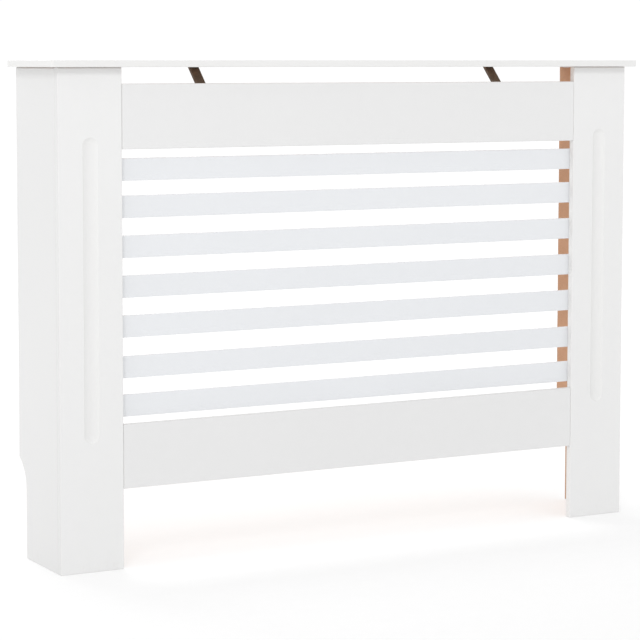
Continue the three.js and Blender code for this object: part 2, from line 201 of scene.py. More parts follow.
def lacquered(name, base, lo, hi, flat, shift=(0, 0, 0), spray=(0.0008, 0.0045), painted_top_shade=False, painted_corner_shade=1.0):
    """A fibreboard whose show face and edges are white lacquer and whose back is bare,
    with spray mist creeping on to the back from the edges, as far as spray says, in
    metres. lo and hi are the board's corners in millimetres and flat the axis that its
    faces look along."""
    m, n = material(name)
    at = n.where(shift=shift)
    # the lacquer: almost even tone, orange peel, a few dust nibs
    cloud = n.noise(at, 3.0, 3.0, 0.5)
    mottle = n.noise(at, 38.0, 3.0, 0.55)
    peel = n.noise(at, 420.0, 2.0, 0.45)
    fine = n.noise(at, 1900.0, 2.0, 0.5)
    nib = n.ease(n.cells(at, 55.0), 0.03, 0.075, 1.0, 0.0)
    tone = n.math("MULTIPLY", n.span(cloud, 0.3, 0.7, 0.990, 1.006), n.span(mottle, 0.3, 0.7, 0.995, 1.004))
    cut, arris, bare = n.face("cut"), n.face("arris"), n.face("bare")
    colour = n.tint((*base,), tone)
    # the cut edges drink the lacquer: a little warmer and rougher, with fibres standing up
    warm = (base[0] * 0.996, base[1] * 0.992, base[2] * 0.980)
    colour = n.mix(n.math("MULTIPLY", cut, n.span(mottle, 0.3, 0.7, 0.45, 0.9)), colour, warm)
    # rubbed arrises, where the coat is thin
    rub = n.math("MULTIPLY", arris, n.ease(n.noise(at, 65.0, 5.0, 0.7), 0.48, 0.72))
    colour = n.mix(n.math("MULTIPLY", rub, 0.25), colour, (base[0] * 0.95, base[1] * 0.92, base[2] * 0.87))
    chip = n.math("MULTIPLY", arris, n.ease(n.noise(at, 150.0, 4.0, 0.75), 0.76, 0.78))
    # darker and rougher in uneven patches within 30 mm of the floor
    xyz = n.add("ShaderNodeSeparateXYZ")
    n.put(xyz.inputs[0], n.add("ShaderNodeTexCoord").outputs["Object"])
    foot = n.math("MULTIPLY", n.ease(xyz.outputs[2], 0.001, 0.03, 1.0, 0.0), n.ease(n.noise(n.where((1, 1, 0.4), shift), 120.0, 4.0, 0.7), 0.5, 0.75))
    colour = n.mix(n.math("MULTIPLY", foot, 0.18), colour, (base[0] * 0.8, base[1] * 0.78, base[2] * 0.74))
    if painted_corner_shade != 1.0:
        # painted shade: the last 0.9 mm of a post's outer end, its end face and arris, is darkened by this factor to
        # draw the shaded line at the corner with the side panel
        end = n.ease(n.math("ABSOLUTE", xyz.outputs[0]), BODY_HALF / 1000.0 - 0.0009, BODY_HALF / 1000.0 - 0.0002)
        colour = n.mix(end, colour, tuple(c * painted_corner_shade for c in base))
    if painted_top_shade:
        # painted shade: the face that looks up is made a little greyer, unevenly, to tone down the strong light that
        # falls on it from above and behind
        up = n.ease(xyz.outputs[2], hi[2] / 1000.0 - 0.0004, hi[2] / 1000.0 - 0.00005)
        top_shade_patches = n.math("MULTIPLY", up, n.span(n.noise(at, 9.0, 4.0, 0.6), 0.3, 0.7, 0.80, 1.0))
        colour = n.mix(top_shade_patches, colour, (base[0] * 0.925, base[1] * 0.925, base[2] * 0.925))
    rough = n.math("ADD", n.span(mottle, 0.3, 0.7, 0.34, 0.42), n.math("MULTIPLY", cut, 0.14))
    rough = n.math("ADD", rough, n.math("MULTIPLY", n.math("MAXIMUM", rub, foot), 0.12))
    height = n.math("ADD", n.math("MULTIPLY", peel, 0.10), n.math("MULTIPLY", nib, 0.10))
    height = n.math("ADD", height, n.math("MULTIPLY", n.math("MULTIPLY", fine, cut), 0.14))
    # the bare back, and the mist of lacquer on it
    rc, rr, rh = raw_board(n, shift)
    axes = [k for k in range(3) if k != flat]
    near = None
    for k in axes:
        for d in (n.math("SUBTRACT", xyz.outputs[k], lo[k] / 1000.0), n.math("SUBTRACT", hi[k] / 1000.0, xyz.outputs[k])):
            near = d if near is None else n.math("MINIMUM", near, d)
    drift = n.noise(at, 24.0, 3.0, 0.6)
    speck = n.noise(at, 1100.0, 3.0, 0.65)
    reach = n.span(drift, 0.3, 0.7, *spray)
    mist = n.math("DIVIDE", near, reach)
    mist = n.math("SUBTRACT", n.math("ADD", n.math("SUBTRACT", 1.0, mist), 0.28), speck)
    mist = n.ease(mist, 0.0, 0.38, 0.0, 0.92)
    show = n.math("MULTIPLY", bare, n.math("SUBTRACT", 1.0, mist))
    show = n.math("MAXIMUM", show, chip)
    colour = n.mix(show, colour, rc)
    rough = n.mixf(show, rough, rr)
    height = n.mixf(show, height, n.math("MULTIPLY", rh, 0.35))
    n.surface(colour, rough, height, 0.55, 0.0006)
    return m


def bare_board(name, base=RAW, shift=(0, 0, 0), bump=0.5):
    m, n = material(name)
    c, r, h = raw_board(n, shift, base)
    n.surface(c, r, h, bump, 0.0006, Specular_IOR_Level=0.3)
    return m


def dark_board(name):
    """Dark brown hardboard: close, slightly burnished fibres."""
    m, n = material(name)
    base = (0.125, 0.100, 0.076)
    at = n.where()
    fibre = n.noise(n.where((1.0, 0.4, 0.4)), 1400.0, 4.0, 0.7, 0.8)
    cloud = n.noise(at, 60.0, 4.0, 0.6)
    c = n.mix(n.span(cloud, 0.3, 0.7, 0.0, 1.0), tuple(v * 0.8 for v in base), tuple(v * 1.25 for v in base))
    c = n.mix(n.ease(fibre, 0.5, 0.72, 0.0, 0.7), c, (base[0] * 2.2, base[1] * 2.3, base[2] * 2.4))
    n.surface(c, n.span(fibre, 0.3, 0.7, 0.55, 0.75), fibre, 0.35, 0.0005, Specular_IOR_Level=0.3)
    return m


def beech(name):
    m, n = material(name)
    long = n.where((1.0, 1.0, 0.06))
    grain = n.noise(long, 900.0, 4.0, 0.6, 0.4)
    ray = n.noise(n.where((1.0, 1.0, 0.25)), 1700.0, 2.0, 0.5)
    c = n.mix(n.span(grain, 0.3, 0.7, 0.0, 1.0), (0.50, 0.33, 0.185), (0.68, 0.49, 0.30))
    c = n.mix(n.ease(ray, 0.62, 0.72, 0.0, 0.6), c, (0.36, 0.21, 0.11))
    n.surface(c, n.span(grain, 0.3, 0.7, 0.6, 0.72), grain, 0.3, 0.0004)
    return m


def zinc(name, base, dull=0.0):
    """Zinc plate: a soft mottle of bluish and straw tones, fine scratches."""
    m, n = material(name)
    at = n.where()
    bloom = n.noise(at, 160.0, 4.0, 0.6)
    scratch = n.noise(n.where((1.0, 1.0, 0.05)), 2600.0, 3.0, 0.7)
    c = n.mix(n.span(bloom, 0.32, 0.68, 0.0, 1.0), tuple(v * 0.9 for v in base), (base[0] * 1.04, base[1] * 1.03, base[2] * 0.97))
    r = n.math("ADD", n.span(bloom, 0.3, 0.7, 0.26 + dull, 0.42 + dull), n.span(scratch, 0.45, 0.7, 0.0, 0.12))
    n.surface(c, r, scratch, 0.12, 0.0003, Metallic=1.0)
    return m


# ------------------------------------------------------------------- meshes


def face_numbers(bm):
    return tuple(bm.faces.layers.float.get(k) or bm.faces.layers.float.new(k) for k in ("cut", "arris", "bare"))


def mark(bm, flat, bare_way):
    """Says of each face if it is a cut edge, a rounded arris, or the bare back. flat is
    the axis of the board's faces and bare_way the sign of the bare one, or 0."""
    cut, arris, bare = face_numbers(bm)
    bm.normal_update()
    for f in bm.faces:
        nrm = f.normal
        main = max(range(3), key=lambda k: abs(nrm[k]))
        square = abs(nrm[main]) > 0.9995
        f[arris] = 0.0 if square else 1.0
        f[cut] = 1.0 if main != flat else 0.0
        if not square:
            f[cut] = 0.6
        f[bare] = 0.0
        if bare_way:
            toward = nrm[flat] * bare_way
            f[bare] = 1.0 if toward > 0.9995 else (0.35 if toward > 0.8 else 0.0)


def on_box_edge(e, lo, hi):
    """An edge of the mesh that lies on one of the twelve edges of the box."""
    a, b = e.verts[0].co, e.verts[1].co
    hits = 0
    for k in range(3):
        for v in (lo[k], hi[k]):
            if abs(a[k] - v) < 1e-4 and abs(b[k] - v) < 1e-4:
                hits += 1
    return hits == 2


def round_edges(bm, edges, r, seg=3):
    bmesh.ops.bevel(bm, geom=list(edges), offset=r, offset_type="OFFSET", segments=seg, profile=0.5, affect="EDGES", clamp_overlap=True)


def box_mesh(lo, hi, r, seg=3):
    bm = bmesh.new()
    bmesh.ops.create_cube(bm, size=1.0)
    for v in bm.verts:
        for k in range(3):
            v.co[k] = lo[k] if v.co[k] < 0 else hi[k]
    round_edges(bm, [e for e in bm.edges if on_box_edge(e, lo, hi)], r, seg)
    return bm


def prism(outline, axis, a, b):
    """A closed outline of two coordinates, run along an axis from a to b."""
    bm = bmesh.new()
    other = [k for k in range(3) if k != axis]

    def ring(t):
        made = []
        for p in outline:
            co = [0.0, 0.0, 0.0]
            co[axis], co[other[0]], co[other[1]] = t, p[0], p[1]
            made.append(bm.verts.new(co))
        return made

    r0, r1 = ring(a), ring(b)
    bm.faces.new(r0)
    bm.faces.new(list(reversed(r1)))
    for i in range(len(outline)):
        j = (i + 1) % len(outline)
        bm.faces.new((r0[i], r1[i], r1[j], r0[j]))
    bmesh.ops.recalc_face_normals(bm, faces=bm.faces)
    return bm


def rounded(points, steps=5):
    """An outline whose corners (x, y, radius) are turned into arcs."""
    out = []
    n = len(points)
    for i, (x, y, r) in enumerate(points):
        p = Vector((x, y))
        if not r:
            out.append((x, y))
            continue
        a = (Vector(points[i - 1][:2]) - p).normalized()
        b = (Vector(points[(i + 1) % n][:2]) - p).normalized()
        angle = a.angle(b)
        reach = r / math.tan(angle / 2)
        mid = (a + b).normalized()
        c = p + mid * (r / math.sin(angle / 2))
        s, e = p + a * reach - c, p + b * reach - c
        a0 = math.atan2(s.y, s.x)
        turn = math.atan2(e.y, e.x) - a0
        turn = (turn + math.pi) % (2 * math.pi) - math.pi
        for k in range(steps + 1):
            t = a0 + turn * k / steps
            out.append((c.x + r * math.cos(t), c.y + r * math.sin(t)))
    return out


def eased_end(axis, a, b, face, way, top, r, seg=6):
    """A cutter that eases the upper end of a board: it takes off the corner between
    the upright plane at face, which looks along way, and the level plane at top."""
    outline = [(face + way, top - r)]
    for k in range(seg + 1):
        t = math.pi / 2 * k / seg
        outline.append((face - way * r + way * r * math.cos(t), top - r + r * math.sin(t)))
    outline += [(face - way * r, top + 1), (face + way, top + 1)]
    return prism(outline, axis, a, b)


def lathe(profile, seg):
    """A solid turned about Z from a profile of (radius, height) that starts and ends on the axis."""
    bm = bmesh.new()
    rings = []
    for r, h in profile:
        if r <= 1e-9:
            rings.append([bm.verts.new((0, 0, h))])
        else:
            rings.append([bm.verts.new((r * math.cos(2 * math.pi * k / seg), r * math.sin(2 * math.pi * k / seg), h)) for k in range(seg)])
    for a, b in zip(rings, rings[1:]):
        for k in range(seg):
            j = (k + 1) % seg
            if len(a) == 1 and len(b) == 1:
                continue
            if len(a) == 1:
                bm.faces.new((a[0], b[j], b[k]))
            elif len(b) == 1:
                bm.faces.new((a[k], a[j], b[0]))
            else:
                bm.faces.new((a[k], a[j], b[j], b[k]))
    bmesh.ops.recalc_face_normals(bm, faces=bm.faces)
    return bm


def aim(origin, direction):
    """The matrix that puts +Z along a direction, at a point."""
    d = Vector(direction).normalized()
    return Matrix.Translation(Vector(origin)) @ d.to_track_quat("Z", "Y").to_matrix().to_4x4()


def joined(parts):
    """One bmesh of several that don't touch. Their holes are bare board."""
    out = bmesh.new()
    for bm in parts:
        me = bpy.data.meshes.new("tmp")
        bm.to_mesh(me)
        bm.free()
        out.from_mesh(me)
        bpy.data.meshes.remove(me)
    cut, arris, bare = face_numbers(out)
    for f in out.faces:
        f[cut], f[arris], f[bare] = 0.0, 0.0, 1.0
    return out


def minus(bm, cutters):
    """bm with the cutters taken away, as a new bmesh."""
    if not cutters:
        return bm
    objs = []
    for k, b in enumerate((bm, joined(cutters))):
        me = bpy.data.meshes.new("tmp%d" % k)
        b.to_mesh(me)
        b.free()
        o = bpy.data.objects.new("tmp%d" % k, me)
        scene.collection.objects.link(o)
        objs.append(o)
    mod = objs[0].modifiers.new("cut", "BOOLEAN")
    mod.operation, mod.solver, mod.object = "DIFFERENCE", "EXACT", objs[1]
    dg = bpy.context.evaluated_depsgraph_get()
    me = bpy.data.meshes.new_from_object(objs[0].evaluated_get(dg))
    out = bmesh.new()
    out.from_mesh(me)
    bpy.data.meshes.remove(me)
    for o in objs:
        old = o.data
        bpy.data.objects.remove(o)
        bpy.data.meshes.remove(old)
    bmesh.ops.remove_doubles(out, verts=out.verts, dist=1e-5)
    bmesh.ops.dissolve_degenerate(out, dist=1e-6, edges=out.edges)
    return out


faults = []


def mesh_of(name, bm, materials, angle=32.0):
    """The finished mesh, in metres, with crisp edges where its faces turn by more than angle."""
    bm.normal_update()
    open_edges = sum(1 for e in bm.edges if len(e.link_faces) != 2)
    if open_edges:
        faults.append((name, open_edges))
    for f in bm.faces:
        f.smooth = True
    for e in bm.edges:
        e.smooth = not (len(e.link_faces) == 2 and e.calc_face_angle(0.0) > math.radians(angle))
    bmesh.ops.scale(bm, vec=(0.001,) * 3, verts=bm.verts)
    me = bpy.data.meshes.new(name)
    bm.to_mesh(me)
    bm.free()
    for m in materials:
        me.materials.append(m)
    return me


def piece(name, me, node, matrix=None, weighted=True):
    o = bpy.data.objects.new(name, me)
    scene.collection.objects.link(o)
    if matrix is not None:
        o.matrix_world = matrix
    if weighted:
        w = o.modifiers.new("even normals", "WEIGHTED_NORMAL")
        w.keep_sharp, w.weight = True, 60
    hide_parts(node)
    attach(o, "root")
    return o


def screw_hole(length, origin, direction):
    rh, rs = HEAD_R + CLEAR, SCREW_R + CLEAR
    bm = lathe([(0, -1), (rh, -1), (rh, 0.5), (rs, 0.5 + rh - rs), (rs, length + CLEAR), (0, length + CLEAR)], 32)
    bm.transform(aim(origin, direction))
    return bm


def round_hole(r, a, b, origin, direction, seg=32):
    bm = lathe([(0, a), (r, a), (r, b), (0, b)], seg)
    bm.transform(aim(origin, direction))
    return bm


# ------------------------------------------------- places of the fasteners

SIDES = (("left", -1), ("right", 1))
dowels, screws = [], []
for side, s in SIDES:
    for rail, z0 in (("upper", UPPER_Z), ("lower", LOWER_Z)):
        for tag, z in (("top", z0 + RAIL_H - 27), ("bottom", z0 + 27)):
            dowels.append({"name": f"dowel_{rail}_rail_{side}_{tag}", "side": side, "rail": rail,
                           "origin": (s * (POST_IN - 15), FRONT_Y + 6, z), "direction": (s, 0, 0)})
    cx = s * (SIDE_IN - CLEAT / 2)
    for tag, z in (("upper", 660), ("lower", 150)):
        screws.append({"name": f"screw_cleat_to_post_{side}_{tag}", "length": 26, "through": (f"corner_cleat_{side}", f"pilaster_{side}"),
                       "origin": (cx, BACK_Y + CLEAT, z), "direction": (0, -1, 0)})
    for tag, z in (("upper", 690), ("lower", 180)):
        screws.append({"name": f"screw_cleat_to_side_{side}_{tag}", "length": 30, "through": (f"corner_cleat_{side}", f"side_panel_{side}"),
                       "origin": (s * (SIDE_IN - CLEAT), BACK_Y + CLEAT / 2, z), "direction": (s, 0, 0)})
    for tag, y in (("front", -46), ("rear", 14)):
        screws.append({"name": f"screw_cleat_to_top_{side}_{tag}", "length": 26, "through": (f"top_cleat_{side}", "top_board"),
                       "origin": (cx, y, BODY_H - CLEAT), "direction": (0, 0, 1)})
    screws.append({"name": f"screw_top_cleat_to_side_{side}", "length": 30, "through": (f"top_cleat_{side}", f"side_panel_{side}"),
                   "origin": (s * (SIDE_IN - CLEAT), -16, BODY_H - CLEAT / 2), "direction": (s, 0, 0)})
    for tag, z in (("upper", 688), ("lower", 220)):
        screws.append({"name": f"screw_batten_{side}_{tag}", "length": 26,
                       "through": (f"slat_batten_{side}", f"packer_{side}_{tag}", f"pilaster_{side}"),
                       "origin": (s * 467, BACK_Y + SLAT_T + 12, z), "direction": (0, -1, 0)})


def bracket_screws(s):
    return [(tag, (s * (SIDE_IN - 2), y, 710.0), (s, 0, 0)) for tag, y in (("rear", REAR_Y - 14), ("front", REAR_Y - 31))]


def screw_holes(node):
    return [screw_hole(f["length"], f["origin"], f["direction"]) for f in screws if node in f["through"]]


def dowel_holes(test):
    return [round_hole(3.25, -1, 31, d["origin"], d["direction"]) for d in dowels if test(d)]


# ------------------------------------------------------------------- boards

# painted shade: SIDE_WHITE is darker than POST_WHITE, though the lacquer is the same, to offset the stronger light
# on the side faces
SIDE_WHITE = (0.711, 0.711, 0.709)
POST_WHITE = (0.763, 0.763, 0.761)
TOP_WHITE = (0.752, 0.752, 0.751)
RAIL_WHITE = (0.732, 0.732, 0.732)
SLAT_WHITE = (0.74, 0.753, 0.773)

# the top board: rounded front corners, soft arrises all round, misted underside
lo, hi = (-WIDTH / 2, -DEPTH / 2, BODY_H), (WIDTH / 2, DEPTH / 2, HEIGHT)
outline = rounded([(lo[0], lo[1], 4.0), (hi[0], lo[1], 4.0), (hi[0], hi[1], 1.6), (lo[0], hi[1], 1.6)], 8)
bm = prism(outline, 2, lo[2], hi[2])
rim = [e for e in bm.edges if abs(e.verts[0].co.z - e.verts[1].co.z) < 1e-6]
round_edges(bm, rim, 1.3, 4)
mark(bm, 2, -1)
bm = minus(bm, screw_holes("top_board"))
# the last True greys the board's top face: painted shade
me = mesh_of("top_board_lacquered", bm, [lacquered("lacquer_top_board", TOP_WHITE, lo, hi, 2, (0.3, 0.1, 0.0), (0.024, 0.034), True)])
piece("top_board_lacquered", me, "top_board")

END_R = 3.0   # how much the upper ends of pilasters and side panels are eased

# the side panels, with the skirting cut-out
for side, s in SIDES:
    straight, rise, deep = 115.0, 49.0, 30.0
    radius = (deep * deep + rise * rise) / (2 * deep)
    sweep = math.asin(rise / radius)
    pts = [(BACK_Y, 0.0, 1.2), (REAR_Y - deep, 0.0, 1.2), (REAR_Y - deep, straight, 0)]
    steps = 28
    for i in range(1, steps):
        t = sweep * i / steps
        pts.append((REAR_Y - deep + radius * (1 - math.cos(t)), straight + radius * math.sin(t), 0))
    pts += [(REAR_Y, straight + rise, 1.0), (REAR_Y, BODY_H, 1.2), (BACK_Y, BODY_H, 1.2)]
    a, b = (SIDE_IN, BODY_HALF) if s > 0 else (-BODY_HALF, -SIDE_IN)
    bm = prism(rounded(pts, 5), 0, a, b)
    rim = [e for e in bm.edges if abs(e.verts[0].co.x - e.verts[1].co.x) < 1e-6]
    round_edges(bm, rim, 1.1, 4)
    bm = minus(bm, [eased_end(1, BACK_Y - 1, REAR_Y + 1, s * BODY_HALF, s, BODY_H, END_R)])
    mark(bm, 0, -s)
    holes = screw_holes(f"side_panel_{side}") + [round_hole(2.0, -1, 14.25, o, d) for _, o, d in bracket_screws(s)]
    bm = minus(bm, holes)
    lo, hi = (a, BACK_Y, 0.0), (b, REAR_Y, BODY_H)
    name = f"side_panel_{side}_lacquered"
    me = mesh_of(name, bm, [lacquered(f"lacquer_side_{side}", SIDE_WHITE, lo, hi, 0, (0.0, 0.7 * s, 0.2))])
    piece(name, me, f"side_panel_{side}")

# the pilasters, each with a routed cove that has round ends and a softened lip
FLUTE_W, FLUTE_D, FLUTE_LOW, FLUTE_HIGH = 26.0, 4.0, 207.0, 694.0


def flute_profile():
    """(distance from the cove's middle, depth), from the lip inwards."""
    half = FLUTE_W / 2
    r = (half * half + FLUTE_D * FLUTE_D) / (2 * FLUTE_D)
    slope = math.asin(half / r)
    lip = 0.9
    # the lip's arc touches the face at u0 and the cove where the cove's own slope is met
    u0 = half + lip * math.tan(slope / 2)
    pts = []
    for k in range(6):
        t = slope * k / 5
        pts.append((u0 - lip * math.sin(t), lip * (1 - math.cos(t))))
    u1, d1 = pts[-1]
    inner = 14
    a1 = math.asin(u1 / r)
    for k in range(1, inner + 1):
        t = a1 * (1 - k / inner)
        # blended on to the true cove so that the two arcs meet
        d = r * math.cos(t) - (r - FLUTE_D)
        off = d1 - (r * math.cos(a1) - (r - FLUTE_D))
        pts.append((r * math.sin(t), d + off * (1 - k / inner)))
    pts[-1] = (0.0, FLUTE_D)
    return pts


def pilaster_mesh(x0, x1):
    bm = bmesh.new()
    cx, m = (x0 + x1) / 2, 24
    zt, zb = FLUTE_HIGH - FLUTE_W / 2, FLUTE_LOW + FLUTE_W / 2
    rings = []
    for u, d in flute_profile():
        y = FRONT_Y + d
        if u < 1e-9:
            rings.append([bm.verts.new((cx, y, zt)), bm.verts.new((cx, y, zb))])
            continue
        top = [bm.verts.new((cx + u * math.cos(math.pi * k / m), y, zt + u * math.sin(math.pi * k / m))) for k in range(m + 1)]
        low = [bm.verts.new((cx - u * math.cos(math.pi * k / m), y, zb - u * math.sin(math.pi * k / m))) for k in range(m + 1)]
        rings.append(top + low)
    size = 2 * (m + 1)
    for a, b in zip(rings, rings[1:]):
        for k in range(size):
            j = (k + 1) % size
            if len(b) == 2:
                pk, pj = b[0 if k <= m else 1], b[0 if j <= m else 1]
                bm.faces.new((a[k], a[j], pj) if pk is pj else (a[k], a[j], pj, pk))
            else:
                bm.faces.new((a[k], a[j], b[j], b[k]))
    rim = rings[0]
    north, south = rim[m // 2], rim[m + 1 + m // 2]
    v = {}
    for key, (x, z) in {"A": (x0, 0), "B": (cx, 0), "C": (x1, 0), "D": (x1, BODY_H), "E": (cx, BODY_H), "F": (x0, BODY_H)}.items():
        v[key] = bm.verts.new((x, FRONT_Y, z))
    west = rim[m // 2:m + 1 + m // 2 + 1]            # from north, down the low-x side, to south
    east = rim[m + 1 + m // 2:] + rim[:m // 2 + 1]   # from south, up the high-x side, to north
    bm.faces.new([v["E"]] + west + [v["B"], v["A"], v["F"]])
    bm.faces.new([v["B"]] + east + [v["E"], v["D"], v["C"]])
    back = {key: bm.verts.new((v[key].co.x, BACK_Y, v[key].co.z)) for key in "ACDF"}
    bm.faces.new([back[k] for k in "ACDF"])
    bm.faces.new([v["A"], v["B"], v["C"], back["C"], back["A"]])
    bm.faces.new([v["C"], v["D"], back["D"], back["C"]])
    bm.faces.new([v["D"], v["E"], v["F"], back["F"], back["D"]])
    bm.faces.new([v["F"], v["A"], back["A"], back["F"]])
    bmesh.ops.recalc_face_normals(bm, faces=bm.faces)
    lo, hi = (x0, FRONT_Y, 0.0), (x1, BACK_Y, BODY_H)
    round_edges(bm, [e for e in bm.edges if on_box_edge(e, lo, hi)], 1.3, 4)
    # the upper end is eased more, which shows as a dark line under the top board
    bm = minus(bm, [eased_end(0, x0 - 1, x1 + 1, FRONT_Y, -1, BODY_H, END_R)])
    mark(bm, 1, 1)
    cut, arris, bare = face_numbers(bm)
    for f in bm.faces:
        c = f.calc_center_median()
        if abs(c.x - cx) < 14 and FLUTE_LOW - 1 < c.z < FLUTE_HIGH + 1 and FRONT_Y + 1e-3 < c.y < FRONT_Y + 5:
            f[cut], f[arris], f[bare] = 0.5, 0.0, 0.0
    return bm


for side, s in SIDES:
    x0, x1 = (POST_IN, BODY_HALF) if s > 0 else (-BODY_HALF, -POST_IN)
    bm = pilaster_mesh(x0, x1)
    bm = minus(bm, dowel_holes(lambda d: d["side"] == side) + screw_holes(f"pilaster_{side}"))
    name = f"pilaster_{side}_lacquered"
    # the 0.93 below darkens each post's outer end: painted shade of the corner line
    me = mesh_of(name, bm, [lacquered(f"lacquer_pilaster_{side}", POST_WHITE, (x0, FRONT_Y, 0.0), (x1, BACK_Y, BODY_H), 1, (0.4 * s, 0.0, 0.9), painted_corner_shade=0.93)])
    piece(name, me, f"pilaster_{side}")

# rails
for rail, z0 in (("upper", UPPER_Z), ("lower", LOWER_Z)):
    lo, hi = (-RAIL_END, FRONT_Y, z0), (RAIL_END, BACK_Y, z0 + RAIL_H)
    bm = box_mesh(lo, hi, 1.1, 4)
    mark(bm, 1, 1)
    bm = minus(bm, dowel_holes(lambda d: d["rail"] == rail))
    name = f"{rail}_rail_lacquered"
    me = mesh_of(name, bm, [lacquered(f"lacquer_{rail}_rail", RAIL_WHITE, lo, hi, 1, (0.15, 0.0, 1.3 if rail == "upper" else 2.1))])
    piece(name, me, f"{rail}_rail")

# slats
for i, z0 in enumerate(SLAT_LOW):
    lo, hi = (-SLAT_HALF, BACK_Y, z0), (SLAT_HALF, BACK_Y + SLAT_T, z0 + SLAT_H)
    bm = box_mesh(lo, hi, 0.8, 3)
    mark(bm, 1, 1)
    name = f"slat_{i + 1}_lacquered"
    me = mesh_of(name, bm, [lacquered(f"lacquer_slat_{i + 1}", SLAT_WHITE, lo, hi, 1, (0.21 * i, 0.1, 0.37 * i))])
    piece(name, me, f"slat_{i + 1}")

# ------------------------------------------ battens, packers, cleats, stays

raw_a = bare_board("bare_fibreboard")
raw_b = bare_board("bare_fibreboard_cut", tuple(c * 0.9 for c in RAW), (0.5, 0.2, 0.1), 0.7)
stay_mat = dark_board("dark_hardboard")
wood = beech("beech")
bright = zinc("zinc_plated_screw", (0.66, 0.67, 0.69))
strip = zinc("zinc_plated_strip", (0.58, 0.59, 0.61), 0.08)

for side, s in SIDES:
    x0, x1 = (452.0, 482.0) if s > 0 else (-482.0, -452.0)
    y0 = BACK_Y + SLAT_T
    bars = [(f"slat_batten_{side}", (x0, y0, 200.0), (x1, y0 + 12, 708.0), raw_a),
            (f"packer_{side}_upper", (x0, BACK_Y, 668.0), (x1, y0, 708.0), raw_b),
            (f"packer_{side}_lower", (x0, BACK_Y, 200.0), (x1, y0, 240.0), raw_b)]
    x0, x1 = (SIDE_IN - CLEAT, SIDE_IN) if s > 0 else (-SIDE_IN, -SIDE_IN + CLEAT)
    bars += [(f"corner_cleat_{side}", (x0, BACK_Y, 40.0), (x1, BACK_Y + CLEAT, 780.0), raw_a),
             (f"top_cleat_{side}", (x0, -66.0, BODY_H - CLEAT), (x1, 30.0, BODY_H), raw_a)]
    for node, lo, hi, mat in bars:
        bm = box_mesh(lo, hi, 0.5, 2)
        face_numbers(bm)
        bm = minus(bm, screw_holes(node))
        piece(f"{node}_sawn", mesh_of(f"{node}_sawn", bm, [mat]), node)

for side, s in SIDES:
    half = 3.0 * math.sqrt(2.0)
    y_top, z_low = -45.0 + (BODY_H - 790.0), 790.0 + (BACK_Y + 45.0)
    outline = [(BACK_Y, z_low - half), (y_top + half, BODY_H), (y_top - half, BODY_H), (BACK_Y, z_low + half)]
    bm = prism(outline, 0, s * 286.0 - 8, s * 286.0 + 8)
    slope = [e for e in bm.edges if abs(e.verts[0].co.x - e.verts[1].co.x) < 1e-6
             and abs(e.verts[0].co.y - e.verts[1].co.y) > 20]
    round_edges(bm, slope, 0.5, 2)
    piece(f"top_stay_{side}_sawn", mesh_of(f"top_stay_{side}_sawn", bm, [stay_mat]), f"top_stay_{side}")

# ------------------------------------------------------------------ dowels


def dowel_mesh():
    """A grooved beech dowel with chamfered ends, 6 by 30 mm, along +Z from 0."""
    bm = bmesh.new()
    seg, grooves = 96, 16

    def ring(z, r, depth):
        made = []
        for k in range(seg):
            t = 2 * math.pi * k / seg
            g = depth * max(0.0, math.cos(grooves * t)) ** 2
            made.append(bm.verts.new(((r - g) * math.cos(t), (r - g) * math.sin(t), z)))
        return made

    rows = [ring(0, 2.2, 0.0), ring(1, 2.98, 0.22), ring(29, 2.98, 0.22), ring(30, 2.2, 0.0)]
    for a, b in zip(rows, rows[1:]):
        for k in range(seg):
            j = (k + 1) % seg
            bm.faces.new((a[k], a[j], b[j], b[k]))
    bm.faces.new(list(reversed(rows[0])))
    bm.faces.new(rows[-1])
    bmesh.ops.recalc_face_normals(bm, faces=bm.faces)
    return mesh_of("grooved_dowel", bm, [wood], 50.0)


dowel = dowel_mesh()
for d in dowels:
    m = aim(Vector(d["origin"]) * 0.001, d["direction"])
    piece(f"{d['name']}_grooved", dowel, d["name"], m, False)

# ------------------------------------------------------------------- screws


def cross_recess(top, depth, wide):
    """A tapered cross that cuts the recess of a screw head, down from z = top."""
    bm = bmesh.new()

    def ring(z, a, b):
        pts = [(a, b), (b, b), (b, a), (-b, a), (-b, b), (-a, b), (-a, -b), (-b, -b), (-b, -a), (b, -a), (b, -b), (a, -b)]
        return [bm.verts.new((x, y, z)) for x, y in pts]

    r0, r1, r2 = ring(top - 1.0, wide + 0.15, 0.46), ring(top, wide, 0.42), ring(top + depth, wide * 0.45, 0.26)
    for a, b in ((r0, r1), (r1, r2)):
        for k in range(12):
            j = (k + 1) % 12
            bm.faces.new((a[k], a[j], b[j], b[k]))
    bm.faces.new(list(reversed(r0)))
    bm.faces.new(r2)
    bmesh.ops.recalc_face_normals(bm, faces=bm.faces)
    return bm


